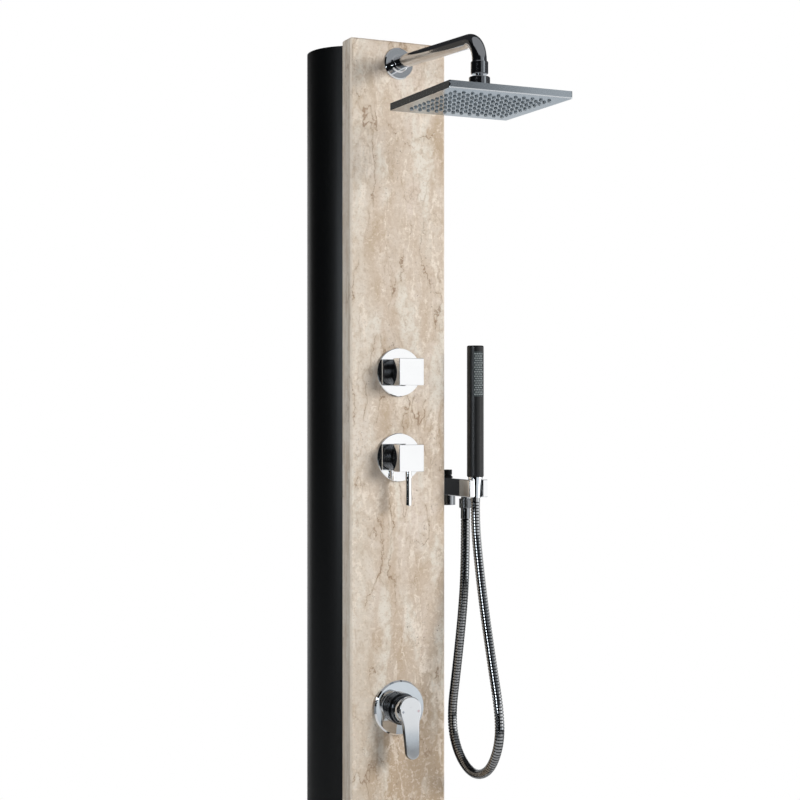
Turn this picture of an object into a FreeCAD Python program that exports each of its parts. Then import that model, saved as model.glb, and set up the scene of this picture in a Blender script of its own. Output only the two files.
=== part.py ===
import FreeCAD, Part
import math
import os
from FreeCAD import Vector

os.makedirs("parts", exist_ok=True)

# Solar shower, in millimetres. +Z is up, the stone panel faces -Y and the origin is on the ground,
# at the middle of the base plate's four anchor holes.

# Clearances
fit = 0.05              # radial, between a piece and the hole it sits or turns in
seam = 0.1              # between flat faces of pieces set side by side
air = 0.5               # between pieces that turn past one another
seat_gap = 0.3          # around the handset's cone in its fork

# Stone panel
panel_top = 2200.0
panel_width = 170.0
panel_thick = 36.0
panel_arris = 2.5
pad_thick = 3.0

# Base plate
base_thick = 10.0
base_width = 300.0
base_front_lip = 60.0   # in front of the panel
base_back_lip = 35.0    # behind the tank
base_corner_r = 20.0
anchor_inset = 25.0
anchor_hole_r = 6.0

# Solar tank
tank_r = 81.0
tank_wall = 3.0
tank_gap = 65.5         # from the panel's back to the tank's front
tank_rise = 12.0        # above the panel
cap_thick = 4.0
spigot_depth = 25.0
foot_r = 105.0
foot_thick = 8.0
foot_bolt_r = 4.0
foot_bolt_circle = 93.0
foot_bolt_floor = 2.0   # of the base plate, left under the bolts
bolt_head_ratio = 1.7   # bolt or screw head to shank

# Spacers between panel and tank
spacer_room = 4.5       # between its webs and the side pipes
spacer_height = 70.0
spacer_thick = 4.0
weld_gap = 0.2
upper_spacer_drop = 170.0   # below the panel's top
lower_spacer_z = 250.0
screw_r = 3.0
screw_bite = 20.0       # into the stone
screw_head = 4.0
screw_side = 24.0
screw_lift = 22.0

# Water pipes in the gap
pipe_r = 7.5
pipe_wall = 1.0
pipe_setback = 31.0     # from the panel's back
pipe_side = 30.0        # hot and cold pipes, off the middle
socket_depth = 14.0
fitting_r = 14.0
branch_r = 10.5         # tank branches
branch_bite = 5.0       # into the tank past its wall
inlet_z = 120.0
inlet_tip = 112.0       # off the middle
inlet_r = 9.0
inlet_thread_r = 10.48  # half-inch pipe thread, for a garden hose tap connector
inlet_thread = 18.0
outlet_drop = 90.0      # hot branch, below the panel's top
fitting_up = 32.0
fitting_down = 22.0

# Overhead arm
arm_drop = 36.5         # below the panel's top
arm_r = 11.0
arm_wall = 1.5
arm_hole_room = 2.0     # around the arm in the panel
arm_straight = 20.0     # in front of the panel before the arm dips
arm_fall = 16.0         # from there to the elbow
arm_dip_r = 150.0
arm_bend_r = 36.0
arm_bite = 17.0         # into the wall elbow
arm_rose_r = 26.0
arm_rose_thick = 6.0
elbow_r = 16.0
elbow_neck_r = 14.0
elbow_tail = 32.0

# Overhead head and its ball swivel
head_reach = 283.0      # from the panel's face to the head's middle
head_drop = 151.0       # from the panel's top to the spray face
head_size = 200.0
head_thick = 11.0
head_wall = 1.5
head_ledge = 3.5
head_corner_r = 2.0
face_thick = 3.0
nozzle_columns = 12     # side by side
nozzle_pitch = 14.0
nozzle_rows = 11        # front to back
nozzle_row_pitch = 14.4
nozzle_r = 2.7
nozzle_tip_r = 1.8
nozzle_bore_r = 0.8
nozzle_out = 2.4
nozzle_taper = 0.8      # height of its sloping tip
nut_r = 13.0
nut_height = 19.0
nut_wall = 3.0
swivel_gap = 4.0        # between collar and nut, for the tilt
ball_r = 11.0
ball_lift = 18.0        # its centre above the head
ball_neck_r = 5.5
ball_bore_r = 3.0
ball_flange_r = 9.5
ball_flange = 3.2
collar_r = 15.7
collar_over = 12.0      # its top above the ball's centre
collar_mouth_r = 10.0
collar_throat = 6.0     # from the collar's top to the ball seat
boss_r = 12.5
boss_bore_r = 7.0
seal_height = 6.0
seal_under = 3.5        # its top below the ball's centre

# Stop valves with square knobs
upper_drop = 541.0
valve_pitch = 139.0     # from the upper valve to the middle one
valve_rose_r = 39.7
valve_rose_thick = 5.0
hole_room = 5.0         # around a valve's neck in the panel
barrel_r = 17.0
barrel_half = 28.0
neck_r = 17.0
neck_out = 14.0
cartridge_r = 12.0
cartridge_back = 8.0    # past the barrel's middle
spindle_r = 5.0
spindle_bite = 24.0     # into the cartridge
sleeve_r = 22.5
sleeve_step_r = 21.0
sleeve_out = 26.0
groove = 1.6
knob_size = 43.5
knob_depth = 24.0
knob_bore = 16.0
knob_edge = 0.6
pin_r = 5.0
pin_length = 55.5
pin_bite = 10.0

# Lever mixer
mixer_pitch = 409.0     # from the middle valve to the mixer
mixer_rose_r = 45.0
mixer_rose_thick = 6.0
mixer_bevel = 2.5
mixer_end = 16.0        # past the side pipes
mixer_barrel_r = 20.0
mixer_neck_r = 21.0
mixer_neck_out = 10.0
mixer_cartridge_r = 16.0
mixer_cartridge_out = 9.0
mixer_sleeve_r = 26.0
mixer_step_r = 23.5
mixer_sleeve_out = 24.0
stem_r = 5.0
stem_tip = 4.0          # past the lever's pivot
stem_bite = 20.0
pivot_out = 28.0
pivot_r = 2.0
pivot_half = 16.0
hub_r = 19.0
dome_r = 20.6           # hub's round back, seated in the sleeve's mouth
hub_tail = 9.0          # behind the pivot
hub_hollow_r = 12.0
hub_hollow = 8.0        # in front of the pivot
lever_out = 48.0
lever_thick = 7.0
lever_rise = 6.0        # round top's centre above the hub's
lever_length = 75.0     # below the hub's middle
lever_half = 13.7       # half the paddle's width at its shoulder
lever_tip_half = 11.3
lever_tilt = 7.5        # degrees, its tip further out
lever_shoulder = 26.0   # below the hub's middle
lever_edge = 1.5
lever_throat_r = 14.0   # hollow between hub and paddle
mark_r = 1.8
mark_depth = 1.5
mark_side = 13.5
mark_lift = 1.0

# Hand shower outlet and holder, beside the panel
holder_gap = 22.0       # from the panel's side to the bar
bar_width = 34.0
bar_height = 29.0
bar_under = 37.0        # its top below the middle valve's centre
bar_front = 46.0        # in front of the panel's face
bar_tail = 18.0         # behind its bolt
bar_edge = 1.0
fork_room = 1.4         # around the hose's end in the fork
hand_out = 34.0         # the hand shower's axis, in front of the panel
outlet_in = 2.0         # the hose outlet's axis, behind the panel's face
banjo_r = 13.0
banjo_height = 18.0
banjo_stub_r = 7.0
banjo_stub = 24.0
hand_pipe_r = 5.0
hand_pipe_lead = 1.0    # straight between a bend and the next piece
hand_pipe_bend = 18.0
holder_bolt_r = 5.0
holder_head_r = 7.3
holder_head = 8.5
holder_cone = 4.2       # tapered collar under the bolt's head
holder_cone_r = 9.0
nipple_r = 7.0
nipple_bore_r = 4.0
hose_nut_r = 10.3
hose_nut_gap = 4.0
hose_nut_height = 16.0
nut_flutes = 18
flute_r = 1.0
ferrule_r = 7.8
ferrule_end = 38.0      # its lower end, below the bar

# Hose: points as (behind the panel's face, below the bar), between its two straight ends
hose_r = 7.7
hose_root_r = 6.7
hose_bore_r = 4.5
rib_pitch = 5.9
rear_run_count = 5      # whole runs in its rear stretch, which ends halfway along the next one
rib_slope = 0.2         # share of a rib's pitch on each slope
hose_route = [(2, 104), (9, 179), (31, 282), (56, 381), (30, 435), (-24, 461), (-82, 445),
              (-117, 396), (-118, 344), (-92, 268), (-62, 172), (-42, 90), (-34, 42)]
arc_share = 0.45        # of the shorter run, taken by each bend

# Hand shower
hand_r = 13.9
hand_wall = 2.4
hand_floor = 8.0
hand_lift = 4.0         # its black body above the bar
hand_length = 216.5
hand_edge = 1.5
cone_top_r = 12.2
cone_end_r = 9.0
cone_length = 34.0
cone_spigot_r = 8.0
cone_spigot = 8.0
hose_end_r = 8.0
hose_end = 7.0
hose_stem_r = 5.0
hose_stem = 22.0
spray_half_width = 9.0
spray_height = 74.0
spray_top = 10.0        # below the hand shower's top
spray_sink = 0.7
spray_thick = 3.0
jet_rows = 19
jet_columns = 5
jet_angle = 15.0
jet_r = 1.1
jet_out = 0.5

# Places worked out from the sizes above
base_depth = base_front_lip + panel_thick + tank_gap + 2 * tank_r + base_back_lip
y_face = base_front_lip - base_depth / 2
y_back = y_face + panel_thick
y_tank = y_back + tank_gap + tank_r
y_pipe = y_back + pipe_setback
y_head = y_face - head_reach
z_panel = base_thick + pad_thick
z_tank = base_thick + foot_thick
z_tank_top = panel_top + tank_rise
z_outlet = panel_top - outlet_drop
z_upper_spacer = panel_top - upper_spacer_drop
z_arm = panel_top - arm_drop
z_upper = panel_top - upper_drop
z_middle = z_upper - valve_pitch
z_mixer = z_middle - mixer_pitch
z_head = panel_top - head_drop
z_head_top = z_head + head_thick
z_ball = z_head_top + ball_lift
z_seal_top = z_ball - seal_under
z_collar_top = z_ball + collar_over
z_nut = z_collar_top + swivel_gap
z_bar_top = z_middle - bar_under
z_bar = z_bar_top - bar_height
z_banjo = z_bar - banjo_height / 2
x_hand = panel_width / 2 + holder_gap + bar_width / 2
z_hand = z_bar_top + hand_lift
z_cone = z_hand - cone_length
z_hose_top = z_cone - hose_end
z_hose_start = z_bar - ferrule_end
foot_bolt_bite = base_thick - foot_bolt_floor
spacer_half_width = pipe_side + pipe_r + spacer_room + spacer_thick
hand_pipe_side = barrel_r + socket_depth + hand_pipe_lead + hand_pipe_bend
spacer_arm_side = hand_pipe_side + hand_pipe_bend + hand_pipe_lead + spacer_thick

up = Vector(0, 0, 1)
forward = Vector(0, -1, 0)
rightward = Vector(1, 0, 0)


def at(x, out, z):
    # a point so far in front of the panel's face
    return Vector(x, y_face - out, z)


def in_gap(x, z):
    # a point on the pipes' plane between panel and tank
    return Vector(x, y_pipe, z)


def box(x0, x1, y0, y1, z0, z1):
    return Part.makeBox(x1 - x0, y1 - y0, z1 - z0, Vector(x0, y0, z0))


def rod(radius, start, end):
    axis = end - start
    return Part.makeCylinder(radius, axis.Length, start, axis)


def pipe_between(start, end, radius=pipe_r, wall=pipe_wall):
    return rod(radius, start, end).cut(rod(radius - wall, start, end))


def turned(profile, origin, axis):
    # a turned solid from corners given as (radius, distance along the axis)
    corners = [Vector(radius, 0, along) for radius, along in profile]
    face = Part.Face(Part.makePolygon(corners + corners[:1]))
    solid = face.revolve(Vector(0, 0, 0), up, 360)
    solid.Placement = FreeCAD.Placement(origin, FreeCAD.Rotation(up, axis))
    return solid


def edges_along(shape, axis):
    # straight edges parallel to an axis
    found = []
    for edge in shape.Edges:
        if not isinstance(edge.Curve, Part.Line):
            continue
        if abs(edge.tangentAt(edge.FirstParameter).dot(axis)) > 0.999:
            found.append(edge)
    return found


def bend_radius(before, corner, after):
    turn = (corner - before).getAngle(after - corner)
    shorter = min((corner - before).Length, (after - corner).Length)
    return arc_share * shorter / math.tan(turn / 2)


def bent_path(points, radii):
    # straight runs joined by tangent arcs, one radius for each inner point
    edges = []
    start = points[0]
    for before, corner, after, radius in zip(points, points[1:], points[2:], radii):
        back = (before - corner).normalize()
        ahead = (after - corner).normalize()
        half = back.getAngle(ahead) / 2
        reach = radius / math.tan(half)
        middle_way = (back + ahead).normalize()
        middle = corner + middle_way * (radius / math.sin(half) - radius)
        first = corner + back * reach
        last = corner + ahead * reach
        edges.append(Part.LineSegment(start, first).toShape())
        edges.append(Part.Arc(first, middle, last).toShape())
        start = last
    edges.append(Part.LineSegment(start, points[-1]).toShape())
    return Part.Wire(edges)


def swept(path, radius):
    # a round bar along a path
    first = path.Edges[0]
    circle = Part.makeCircle(radius, first.valueAt(first.FirstParameter),
                             first.tangentAt(first.FirstParameter))
    return path.makePipeShell([Part.Wire(circle)], True, False)


def group(solids):
    return Part.makeCompound(solids)


def export(node, shape):
    shape.exportStep("parts/" + node + ".step")


# Base, panel and tank

def base_plate():
    plate = box(-base_width / 2, base_width / 2, -base_depth / 2, base_depth / 2, 0, base_thick)
    plate = plate.makeFillet(base_corner_r, edges_along(plate, up))
    holes = []
    for x in (-1, 1):
        for y in (-1, 1):
            foot = Vector(x * (base_width / 2 - anchor_inset), y * (base_depth / 2 - anchor_inset), 0)
            holes.append(rod(anchor_hole_r, foot, foot + up * base_thick))
    for foot in foot_bolt_places():
        holes.append(rod(foot_bolt_r + fit, foot - up * foot_bolt_bite, foot))
    return plate.cut(holes)


def foot_bolt_places():
    reach = foot_bolt_circle / math.sqrt(2)
    return [Vector(x * reach, y_tank + y * reach, base_thick) for x in (-1, 1) for y in (-1, 1)]


def panel_pad():
    return box(-panel_width / 2, panel_width / 2, y_face, y_back, base_thick, z_panel)


def spacer_heights():
    return [z_upper_spacer, z_banjo, lower_spacer_z]


def screw_places():
    places = []
    for z in spacer_heights():
        for x in (-screw_side, screw_side):
            for lift in (-screw_lift, screw_lift):
                places.append(Vector(x, y_back, z + lift))
    return places


def stone_panel():
    slab = box(-panel_width / 2, panel_width / 2, y_face, y_back, z_panel, panel_top)
    slab = slab.makeChamfer(panel_arris, slab.Edges)
    holes = [rod(arm_r + arm_hole_room, Vector(0, y_back, z_arm), at(0, 0, z_arm)),
             rod(neck_r + hole_room, Vector(0, y_back, z_upper), at(0, 0, z_upper)),
             rod(neck_r + hole_room, Vector(0, y_back, z_middle), at(0, 0, z_middle)),
             rod(mixer_neck_r + hole_room, Vector(0, y_back, z_mixer), at(0, 0, z_mixer))]
    for place in screw_places():
        holes.append(rod(screw_r + fit, place + forward * screw_bite, place))
    return slab.cut(holes)


def tank_tube():
    foot = Vector(0, y_tank, z_tank)
    top = Vector(0, y_tank, z_tank_top - cap_thick)
    tube = pipe_between(foot, top, tank_r, tank_wall)
    ports = []
    for x, z in ((pipe_side, inlet_z), (-pipe_side, z_outlet)):
        ports.append(rod(branch_r + fit, in_gap(x, z), Vector(x, y_tank, z)))
    return tube.cut(ports)


def tank_plug(plate_r, plate_thick):
    # a plate with a spigot that fits inside the tube
    inside = tank_r - tank_wall - fit
    spigot_r = inside - tank_wall
    return [(0, 0), (plate_r, 0), (plate_r, plate_thick), (inside, plate_thick),
            (inside, plate_thick + spigot_depth), (spigot_r, plate_thick + spigot_depth),
            (spigot_r, plate_thick), (0, plate_thick)]


def tank_cap():
    return turned(tank_plug(tank_r, cap_thick), Vector(0, y_tank, z_tank_top), up * -1)


def tank_foot():
    foot = turned(tank_plug(foot_r, foot_thick), Vector(0, y_tank, base_thick), up)
    holes = [rod(foot_bolt_r + fit, place, place + up * foot_thick) for place in foot_bolt_places()]
    return foot.cut(holes)


def spacer(z, right=spacer_half_width):
    low = z - spacer_height / 2
    high = z + spacer_height / 2
    left = -spacer_half_width
    plate = box(left, right, y_back, y_back + spacer_thick, low, high)
    left_web = box(left, left + spacer_thick, y_back, y_tank, low, high)
    right_web = box(right - spacer_thick, right, y_back, y_tank, low, high)
    bracket = plate.fuse([left_web, right_web]).removeSplitter()
    tank = rod(tank_r + weld_gap, Vector(0, y_tank, low), Vector(0, y_tank, high))
    holes = []
    for place in screw_places():
        holes.append(rod(screw_r + fit, place, place - forward * spacer_thick))
    return bracket.cut([tank] + holes)


def middle_spacer():
    way = rod(hand_pipe_r + fit, in_gap(hand_pipe_side, z_banjo), in_gap(x_hand, z_banjo))
    return spacer(z_banjo, spacer_arm_side).cut(way)


def capped_screw(radius, head, tip, seat, top_way):
    shank = rod(radius, tip, seat)
    return shank.fuse(rod(radius * bolt_head_ratio, seat, seat + top_way * head)).removeSplitter()


def frame_screws():
    screws = []
    for place in screw_places():
        seat = place - forward * spacer_thick
        screws.append(capped_screw(screw_r, screw_head, place + forward * screw_bite, seat, forward * -1))
    for place in foot_bolt_places():
        seat = place + up * foot_thick
        tip = place - up * foot_bolt_bite
        screws.append(capped_screw(foot_bolt_r, foot_bolt_r, tip, seat, up))
    return group(screws)


# Water pipes behind the panel

def pipe_socket(mouth, inward, radius=pipe_r):
    return rod(radius + fit, mouth, mouth + inward * socket_depth)


def tank_fitting(x, z, low, high):
    # a barrel in the gap with a branch into the tank
    barrel = rod(fitting_r, in_gap(x, low), in_gap(x, high))
    wall_y = y_tank - math.sqrt((tank_r - tank_wall) ** 2 - x ** 2)
    branch_end = Vector(x, wall_y + branch_bite, z)
    body = barrel.fuse(rod(branch_r, in_gap(x, z), branch_end))
    return body, rod(pipe_r - pipe_wall, in_gap(x, z), branch_end)


def cold_tee():
    low = inlet_z - fitting_down
    high = inlet_z + fitting_up
    body, branch_bore = tank_fitting(pipe_side, inlet_z, low, high)
    tip = in_gap(inlet_tip, inlet_z)
    shank = rod(inlet_r, in_gap(pipe_side, inlet_z), tip)
    thread = rod(inlet_thread_r, tip - rightward * inlet_thread, tip)
    body = body.fuse([shank, thread]).removeSplitter()
    bore = pipe_r - pipe_wall
    rise = rod(bore, in_gap(pipe_side, inlet_z), in_gap(pipe_side, high))
    inlet = rod(bore, in_gap(pipe_side, inlet_z), tip)
    return body.cut([branch_bore, rise, inlet, pipe_socket(in_gap(pipe_side, high), up * -1)])


def hot_elbow():
    low = z_outlet - fitting_up
    high = z_outlet + fitting_down
    body, branch_bore = tank_fitting(-pipe_side, z_outlet, low, high)
    fall = rod(pipe_r - pipe_wall, in_gap(-pipe_side, low), in_gap(-pipe_side, z_outlet))
    return body.removeSplitter().cut([branch_bore, fall, pipe_socket(in_gap(-pipe_side, low), up)])


def cold_pipe():
    low = inlet_z + fitting_up - socket_depth
    high = z_mixer - mixer_neck_r + socket_depth
    return pipe_between(in_gap(pipe_side, low), in_gap(pipe_side, high))


def hot_pipe():
    low = z_mixer + mixer_neck_r - socket_depth
    high = z_outlet - fitting_up + socket_depth
    return pipe_between(in_gap(-pipe_side, low), in_gap(-pipe_side, high))


def riser_pipes():
    ends = [(z_mixer + mixer_neck_r, z_middle - barrel_half),
            (z_middle + barrel_half, z_upper - barrel_half),
            (z_upper + barrel_half, z_arm - elbow_tail)]
    return group([pipe_between(in_gap(0, low - socket_depth), in_gap(0, high + socket_depth))
                  for low, high in ends])


def hand_pipe():
    points = [in_gap(barrel_r, z_middle), in_gap(hand_pipe_side, z_middle),
              in_gap(hand_pipe_side, z_banjo), in_gap(x_hand - banjo_stub + socket_depth, z_banjo)]
    path = bent_path(points, [hand_pipe_bend, hand_pipe_bend])
    return swept(path, hand_pipe_r).cut(swept(path, hand_pipe_r - pipe_wall))


# Overhead arm and head

def arm_elbow():
    barrel = rod(elbow_r, in_gap(0, z_arm - elbow_tail), in_gap(0, z_arm + elbow_r))
    neck = rod(elbow_neck_r, in_gap(0, z_arm), Vector(0, y_back, z_arm))
    body = barrel.fuse(neck).removeSplitter()
    arm_way = rod(arm_r + fit, Vector(0, y_back, z_arm), Vector(0, y_back + arm_bite, z_arm))
    water = rod(pipe_r, Vector(0, y_back, z_arm), in_gap(0, z_arm))
    rise = rod(pipe_r - pipe_wall, in_gap(0, z_arm - elbow_tail), in_gap(0, z_arm))
    return body.cut([arm_way, water, rise, pipe_socket(in_gap(0, z_arm - elbow_tail), up)])


def arm_rose():
    inner = arm_r + fit
    step = arm_rose_thick / 3
    profile = [(inner, 0), (arm_rose_r, 0), (arm_rose_r, step), (arm_rose_r - step, 2 * step),
               (inner + 2 * step, 2 * step), (inner + step, arm_rose_thick), (inner, arm_rose_thick)]
    return turned(profile, at(0, 0, z_arm), forward)


def shower_arm():
    arm_end = z_nut + nut_wall + ball_flange + air
    points = [Vector(0, y_back + arm_bite, z_arm), at(0, arm_straight, z_arm),
              at(0, head_reach, z_arm - arm_fall), at(0, head_reach, arm_end)]
    path = bent_path(points, [arm_dip_r, arm_bend_r])
    return swept(path, arm_r).cut(swept(path, arm_r - arm_wall))


def arm_nut():
    bevel = nut_wall / 3
    neck = ball_neck_r + fit
    inner = arm_r + fit
    profile = [(neck, 0), (nut_r - bevel, 0), (nut_r, bevel), (nut_r, nut_height - bevel),
               (nut_r - bevel, nut_height), (inner, nut_height), (inner, nut_wall), (neck, nut_wall)]
    return turned(profile, Vector(0, y_head, z_nut), up)


def swivel_ball():
    centre = Vector(0, y_head, z_ball)
    flange_low = Vector(0, y_head, z_nut + nut_wall + fit)
    flange_high = flange_low + up * ball_flange
    body = Part.makeSphere(ball_r, centre)
    body = body.fuse([rod(ball_neck_r, centre, flange_high), rod(ball_flange_r, flange_low, flange_high)])
    return body.removeSplitter().cut(rod(ball_bore_r, centre - up * ball_r, flange_high))


def swivel_collar():
    top = Vector(0, y_head, z_collar_top)
    low = Vector(0, y_head, z_head_top + air)
    seat = top - up * collar_throat
    bevel = (collar_r - boss_r) / 3
    height = (top - low).Length
    profile = [(0, 0), (collar_r, 0), (collar_r, height - bevel), (collar_r - bevel, height), (0, height)]
    body = turned(profile, low, up)
    centre = Vector(0, y_head, z_ball)
    throat_r = math.sqrt((ball_r + fit) ** 2 - (seat.z - z_ball) ** 2)
    mouth = Part.makeCone(throat_r, collar_mouth_r, collar_throat, seat, up)
    return body.cut([mouth, Part.makeSphere(ball_r + fit, centre), rod(boss_r + fit, low, centre)])


def ball_seal():
    top = Vector(0, y_head, z_seal_top)
    ring = pipe_between(top - up * seal_height, top, boss_r, boss_r - boss_bore_r)
    return ring.cut(Part.makeSphere(ball_r + fit, Vector(0, y_head, z_ball)))


def square_block(half, low, high):
    return box(-half, half, y_head - half, y_head + half, low, high)


def head_cover():
    half = head_size / 2
    body = square_block(half, z_head, z_head_top)
    body = body.makeFillet(head_corner_r, edges_along(body, up))
    boss_top = Vector(0, y_head, z_seal_top - seal_height - fit)
    roof = Vector(0, y_head, z_head_top - head_wall)
    body = body.fuse(rod(boss_r, roof, boss_top)).removeSplitter()
    face_pocket = square_block(half - head_wall, z_head, z_head + face_thick)
    chamber = square_block(half - head_wall - head_ledge, z_head, roof.z)
    return body.cut([face_pocket, chamber, rod(boss_bore_r, roof, boss_top)])


def nozzle_places():
    places = []
    for column in range(nozzle_columns):
        x = nozzle_pitch * (column - (nozzle_columns - 1) / 2)
        for row in range(nozzle_rows):
            y = nozzle_row_pitch * (row - (nozzle_rows - 1) / 2)
            places.append(Vector(x, y_head + y, z_head))
    return places


def head_face():
    plate = square_block(head_size / 2 - head_wall - seam, z_head, z_head + face_thick)
    holes = [rod(nozzle_r + fit, place, place + up * face_thick) for place in nozzle_places()]
    return plate.cut(holes)


def head_nozzles():
    inner = nozzle_bore_r
    profile = [(inner, -nozzle_out), (nozzle_tip_r, -nozzle_out), (nozzle_r, nozzle_taper - nozzle_out),
               (nozzle_r, face_thick), (inner, face_thick)]
    return group([turned(profile, place, up) for place in nozzle_places()])


# Stop valves

def valve_body(z, side_outlet):
    low = in_gap(0, z - barrel_half)
    high = in_gap(0, z + barrel_half)
    solids = [rod(neck_r, in_gap(0, z), at(0, neck_out, z))]
    bore = pipe_r - pipe_wall
    voids = [rod(cartridge_r + fit, in_gap(0, z) - forward * cartridge_back, at(0, neck_out, z)),
             rod(bore, low, high), pipe_socket(low, up), pipe_socket(high, up * -1)]
    if side_outlet:
        mouth = in_gap(barrel_r + socket_depth, z)
        solids.append(rod(fitting_r, in_gap(0, z), mouth))
        voids.append(pipe_socket(mouth, rightward * -1, hand_pipe_r))
        voids.append(rod(hand_pipe_r - pipe_wall, in_gap(0, z), mouth))
    return rod(barrel_r, low, high).fuse(solids).removeSplitter().cut(voids)


def valve_cartridge(z):
    body = rod(cartridge_r, in_gap(0, z) - forward * cartridge_back, at(0, neck_out, z))
    return body.cut(rod(spindle_r + fit, at(0, neck_out - spindle_bite, z), at(0, neck_out, z)))


def valve_rose(z):
    inner = neck_r + fit
    edge = valve_rose_thick / 5
    profile = [(inner, 0), (valve_rose_r, 0), (valve_rose_r, valve_rose_thick - edge),
               (valve_rose_r - edge, valve_rose_thick), (inner, valve_rose_thick)]
    return turned(profile, at(0, 0, z), forward)


def ringed_sleeve(inner, base_r, step_r, low, high):
    # a sleeve with two turned grooves and a smaller front ring
    third = (high - low) / 3
    corners = [(inner, low), (base_r, low), (base_r, low + third - groove)]
    corners += [(base_r - groove, low + third - groove), (base_r - groove, low + third)]
    corners += [(base_r, low + third), (base_r, low + 2 * third - groove)]
    corners += [(step_r - groove, low + 2 * third - groove), (step_r - groove, low + 2 * third)]
    corners += [(step_r, low + 2 * third), (step_r, high - groove / 2), (step_r - groove / 2, high)]
    return corners + [(inner, high)]


def valve_sleeve(z):
    profile = ringed_sleeve(neck_r + fit, sleeve_r, sleeve_step_r, valve_rose_thick, sleeve_out)
    return turned(profile, at(0, 0, z), forward)


def valve_spindle(z):
    return rod(spindle_r, at(0, neck_out - spindle_bite, z), at(0, sleeve_out + air + knob_bore, z))


def square_knob(z):
    half = knob_size / 2
    back = sleeve_out + air
    knob = box(-half, half, y_face - back - knob_depth, y_face - back, z - half, z + half)
    knob = knob.makeChamfer(knob_edge, knob.Edges)
    return knob.cut(rod(spindle_r + fit, at(0, back, z), at(0, back + knob_bore, z)))


def pin_top():
    # where the middle knob's pin starts, inside the knob, clear of its spindle
    return at(0, sleeve_out + air + knob_depth / 2, z_middle - knob_size / 2 + pin_bite)


def middle_knob():
    return square_knob(z_middle).cut(rod(pin_r + fit, pin_top() - up * knob_size, pin_top()))


def middle_pin():
    edge = pin_r / 4
    length = pin_length + pin_bite
    profile = [(0, 0), (pin_r, 0), (pin_r, length - edge), (pin_r - edge, length), (0, length)]
    return turned(profile, pin_top(), up * -1)


# Lever mixer

def mixer_body():
    middle = in_gap(0, z_mixer)
    half = pipe_side + mixer_end
    barrel = rod(mixer_barrel_r, middle - rightward * half, middle + rightward * half)
    neck = rod(mixer_neck_r, middle, at(0, mixer_neck_out, z_mixer))
    body = barrel.fuse(neck).removeSplitter()
    voids = [rod(mixer_cartridge_r + fit, middle, at(0, mixer_neck_out, z_mixer)),
             pipe_socket(in_gap(0, z_mixer + mixer_neck_r), up * -1),
             pipe_socket(in_gap(-pipe_side, z_mixer + mixer_neck_r), up * -1),
             pipe_socket(in_gap(pipe_side, z_mixer - mixer_neck_r), up)]
    bore = pipe_r - pipe_wall
    voids.append(rod(bore, middle - rightward * pipe_side, middle + rightward * pipe_side))
    return body.cut(voids)


def mixer_cartridge():
    front = at(0, mixer_cartridge_out, z_mixer)
    body = rod(mixer_cartridge_r, in_gap(0, z_mixer) + forward * pipe_r, front)
    return body.cut(rod(stem_r + fit, at(0, mixer_cartridge_out - stem_bite, z_mixer), front))


def mixer_rose():
    inner = mixer_neck_r + fit
    profile = [(inner, 0), (mixer_rose_r, 0), (mixer_rose_r, mixer_rose_thick - mixer_bevel),
               (mixer_rose_r - mixer_bevel, mixer_rose_thick), (inner, mixer_rose_thick)]
    return turned(profile, at(0, 0, z_mixer), forward)


def mixer_sleeve():
    profile = ringed_sleeve(mixer_neck_r + fit, mixer_sleeve_r, mixer_step_r, mixer_rose_thick,
                            mixer_sleeve_out)
    return turned(profile, at(0, 0, z_mixer), forward)


def pivot_rod(radius, half_length):
    middle = at(0, pivot_out, z_mixer)
    return rod(radius, middle - rightward * half_length, middle + rightward * half_length)


def mixer_stem():
    stem = rod(stem_r, at(0, mixer_cartridge_out - stem_bite, z_mixer), at(0, pivot_out + stem_tip, z_mixer))
    return stem.cut(pivot_rod(pivot_r + fit, pivot_half))


def lever_outline():
    # the lever's front, a round head drawn in at the shoulders to a round-ended paddle
    def spot(x, z):
        return at(x, lever_out, z_mixer + z)
    slant = math.sqrt(0.5)
    waist_x = (hub_r + lever_half) / 2
    waist_z = (lever_rise - lever_shoulder) / 2
    tip_z = lever_tip_half - lever_length
    edges = []
    for side in (-1, 1):
        crown = [(side * hub_r, lever_rise), (side * hub_r * slant, lever_rise + hub_r * slant),
                 (0, lever_rise + hub_r)]
        tip = [(side * lever_tip_half, tip_z),
               (side * lever_tip_half * slant, tip_z - lever_tip_half * slant), (0, -lever_length)]
        for arc in (crown, tip):
            edges.append(Part.Arc(*[spot(x, z) for x, z in arc]).toShape())
        swell = (hub_r - lever_half) / 8
        upper_x = (hub_r + waist_x) / 2 + swell
        lower_x = (waist_x + lever_half) / 2 - swell
        upper = [(side * hub_r, lever_rise), (side * upper_x, (lever_rise + waist_z) / 2),
                 (side * waist_x, waist_z)]
        lower = [(side * waist_x, waist_z), (side * lower_x, (waist_z - lever_shoulder) / 2),
                 (side * lever_half, -lever_shoulder)]
        for arc in (upper, lower):
            edges.append(Part.Arc(*[spot(x, z) for x, z in arc]).toShape())
        edges.append(Part.LineSegment(spot(side * lever_half, -lever_shoulder),
                                      spot(side * lever_tip_half, tip_z)).toShape())
    return Part.Wire(Part.__sortEdges__(edges))


def lever_outline_edges(plate):
    # the edges of the plate's front
    y_front = y_face - lever_out
    return [edge for edge in plate.Edges if abs(edge.BoundBox.YMin - y_front) + edge.BoundBox.YLength < fit]


def leaned(shape):
    # turns a piece of the lever's front so that the paddle's tip stands further out
    shape.rotate(at(0, lever_out, z_mixer), rightward, -lever_tilt)
    return shape


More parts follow.
